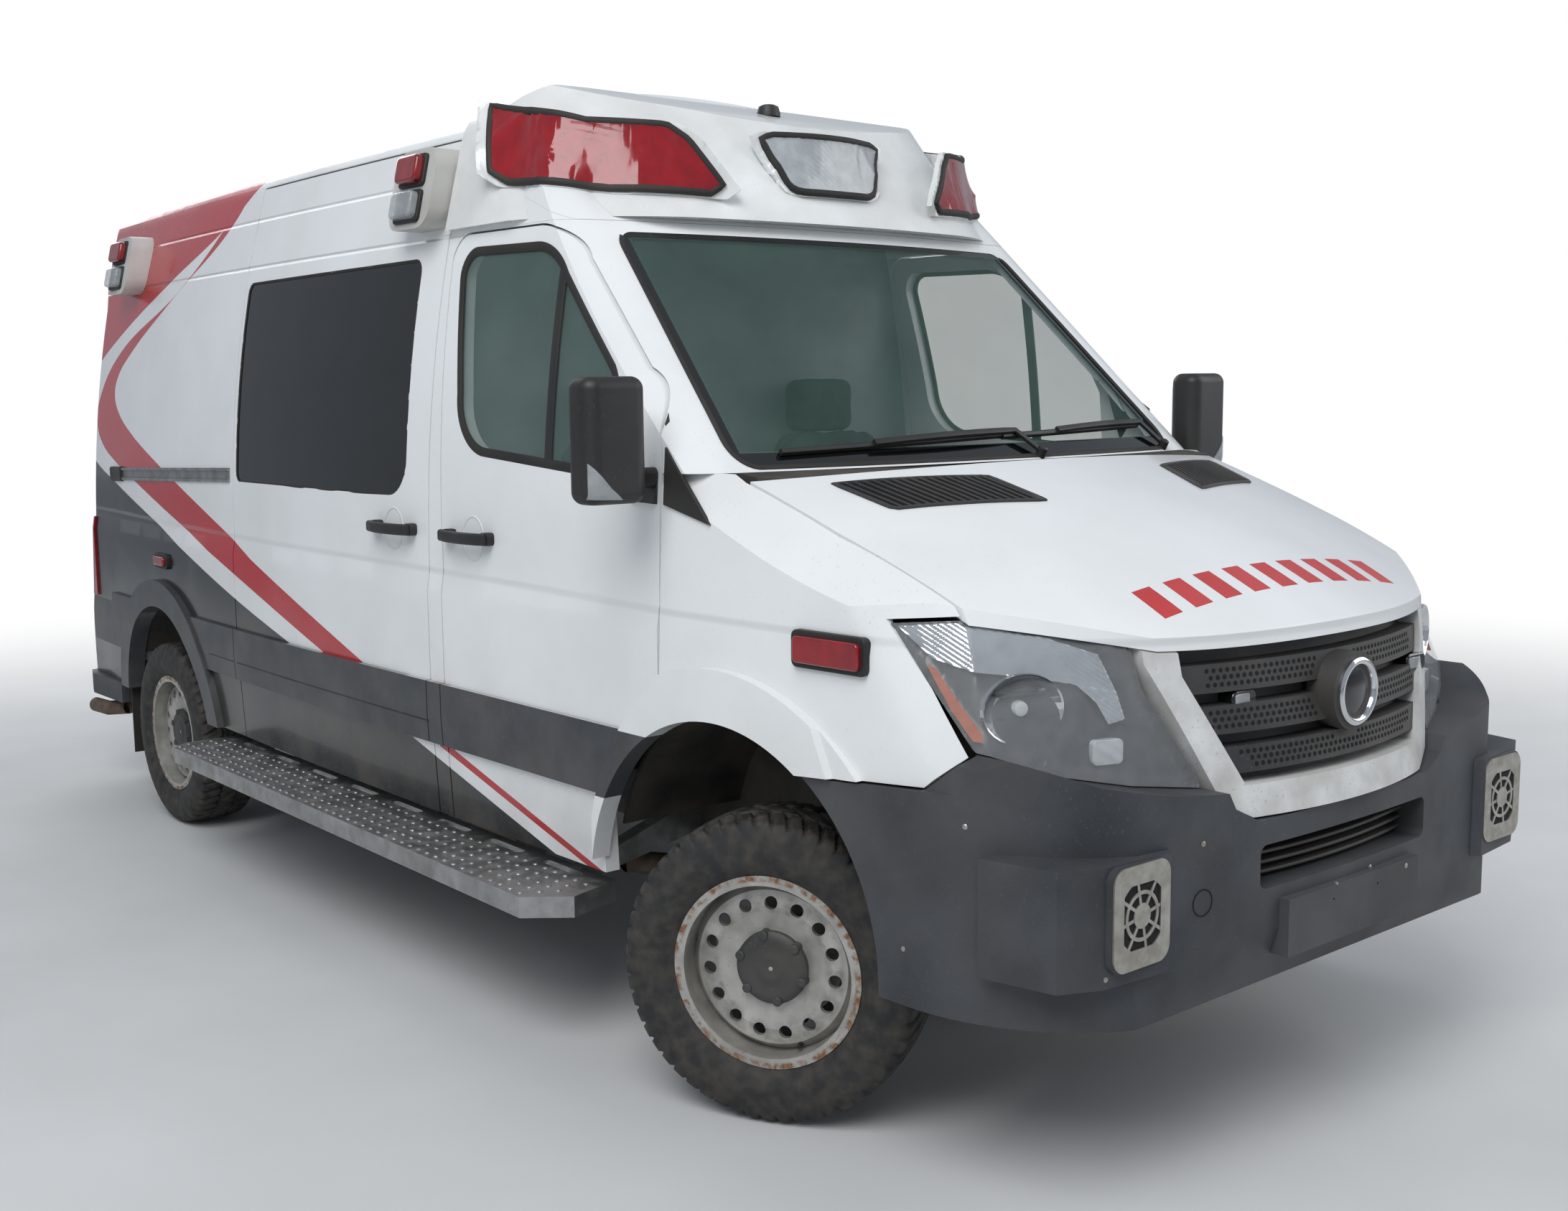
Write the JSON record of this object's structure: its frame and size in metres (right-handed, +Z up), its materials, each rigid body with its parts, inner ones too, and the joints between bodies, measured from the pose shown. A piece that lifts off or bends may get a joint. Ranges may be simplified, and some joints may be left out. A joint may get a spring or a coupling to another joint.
{
  "type": "high-roof van ambulance",
  "caption": "High-roof four-wheel-drive panel van ambulance with roof light fairing, corner beacons, side running boards and a dark lower body.",
  "frame": {"origin": "on the ground under the middle of the whole vehicle", "axes": "+Z up, +Y to the rear, +X to the vehicle's left"},
  "size_m": [2.428, 5.91, 2.645],
  "materials": {
    "white_paint": "gloss white paint",
    "dark_plastic": "grained dark grey",
    "window_glass": "light green tint",
    "dark_glass": "dark privacy tint",
    "lamp_clear": "clear lens over reflectors",
    "lamp_red": "red lens",
    "black_steel": "satin black coat",
    "cast_metal": "rough casting",
    "floor_board": "grey floor covering",
    "seat_fabric": "black woven cloth",
    "board_metal": "bare, worn tread",
    "wheel_steel": "silver wheel paint",
    "tyre": "dusty black rubber",
    "flap_rubber": "matte black"
  },
  "bodies": {
    "body": {"cab_frame": "white_paint", "corner_beacons": "lamp_red", "dashboard": "dark_plastic", "drivetrain": "cast_metal", "exhaust": "black_steel", "fairing_lenses": "lamp_red", "fender_left": "white_paint", "fender_right": "white_paint", "floor_pan": "floor_board", "front_bumper": "dark_plastic", "front_structure": "black_steel", "front_suspension": "black_steel", "fuel_tank": "black_steel", "grille": "dark_plastic", "grille_surround": "white_paint", "headlamps": "lamp_clear", "mudflaps": "flap_rubber", "partition": "floor_board", "rear_axle": "black_steel", "rear_bumper": "dark_plastic", "rear_frame": "white_paint", "roof_fairing": "white_paint", "roof_panel": "white_paint", "running_boards": "board_metal", "seats": "seat_fabric", "side_wall_left": "white_paint", "side_wall_right": "white_paint", "siren_pods": "dark_plastic", "slider_glass": "dark_glass", "sliding_door": "white_paint", "tail_lamps": "lamp_red", "underframe": "black_steel", "wheelhouses": "black_steel", "windshield": "window_glass"},
    "door_left": {"door_left": "white_paint", "door_glass_left": "window_glass", "mirror_left": "dark_plastic"},
    "door_right": {"door_right": "white_paint", "door_glass_right": "window_glass", "mirror_right": "dark_plastic"},
    "rear_door_left": {"rear_door_left": "white_paint", "rear_glass_left": "dark_glass"},
    "rear_door_right": {"rear_door_right": "white_paint", "rear_glass_right": "dark_glass"},
    "hood": {"hood": "white_paint"},
    "knuckle_left": {"knuckle_left": "black_steel"},
    "knuckle_right": {"knuckle_right": "black_steel"},
    "steering_wheel": {"steering_wheel": "dark_plastic"},
    "wheel_front_left": {"tyre_front_left": "tyre", "rim_front_left": "wheel_steel"},
    "wheel_front_right": {"tyre_front_right": "tyre", "rim_front_right": "wheel_steel"},
    "wheel_rear_left": {"tyre_rear_left": "tyre", "rim_rear_left": "wheel_steel"},
    "wheel_rear_right": {"tyre_rear_right": "tyre", "rim_rear_right": "wheel_steel"}
  },
  "joints": [
    {"name": "steer_left", "type": "hinge", "parent": "body", "child": "knuckle_left", "pos_m": [0.785, -1.923, 0.37], "axis": [0, 0, 1], "range_deg": [-65, 5]},
    {"name": "steer_right", "type": "hinge", "parent": "body", "child": "knuckle_right", "pos_m": [-0.785, -1.923, 0.37], "axis": [0, 0, 1], "range_deg": [-65, 5]},
    {"name": "steering_wheel", "type": "hinge", "parent": "body", "child": "steering_wheel", "pos_m": [0.4, -1.36, 1.38], "axis": [0, 0.77, 0.638], "range_deg": [-975, 75]},
    {"name": "wheel_front_left", "type": "hinge", "parent": "knuckle_left", "child": "wheel_front_left", "pos_m": [0.84562, -1.888, 0.37], "axis": [0.866, 0.5, 0], "continuous": true},
    {"name": "wheel_front_right", "type": "hinge", "parent": "knuckle_right", "child": "wheel_front_right", "pos_m": [-0.84562, -1.958, 0.37], "axis": [0.866, 0.5, 0], "continuous": true},
    {"name": "wheel_rear_left", "type": "hinge", "parent": "body", "child": "wheel_rear_left", "pos_m": [0.855, 1.744, 0.37], "axis": [1, 0, 0], "continuous": true},
    {"name": "wheel_rear_right", "type": "hinge", "parent": "body", "child": "wheel_rear_right", "pos_m": [-0.855, 1.744, 0.37], "axis": [1, 0, 0], "continuous": true},
    {"name": "door_left", "type": "hinge", "parent": "body", "child": "door_left", "pos_m": [0.999, -1.668, 1.2], "axis": [0, 0, -1], "range_deg": [0, 62]},
    {"name": "door_right", "type": "hinge", "parent": "body", "child": "door_right", "pos_m": [-0.999, -1.668, 1.2], "axis": [0, 0, 1], "range_deg": [0, 62]},
    {"name": "rear_door_left", "type": "hinge", "parent": "body", "child": "rear_door_left", "pos_m": [0.83, 2.885, 1.4], "axis": [0, 0, -1], "range_deg": [0, 180]},
    {"name": "rear_door_right", "type": "hinge", "parent": "body", "child": "rear_door_right", "pos_m": [-0.83, 2.885, 1.4], "axis": [0, 0, 1], "range_deg": [0, 180]},
    {"name": "hood", "type": "hinge", "parent": "body", "child": "hood", "pos_m": [0, -1.886, 1.521], "axis": [-1, 0, 0], "range_deg": [0, 55]}
  ],
  "couplings": [
    {"joint": "steer_right", "follows": "steer_left", "ratio": 1},
    {"joint": "steering_wheel", "follows": "steer_left", "ratio": 15}
  ]
}
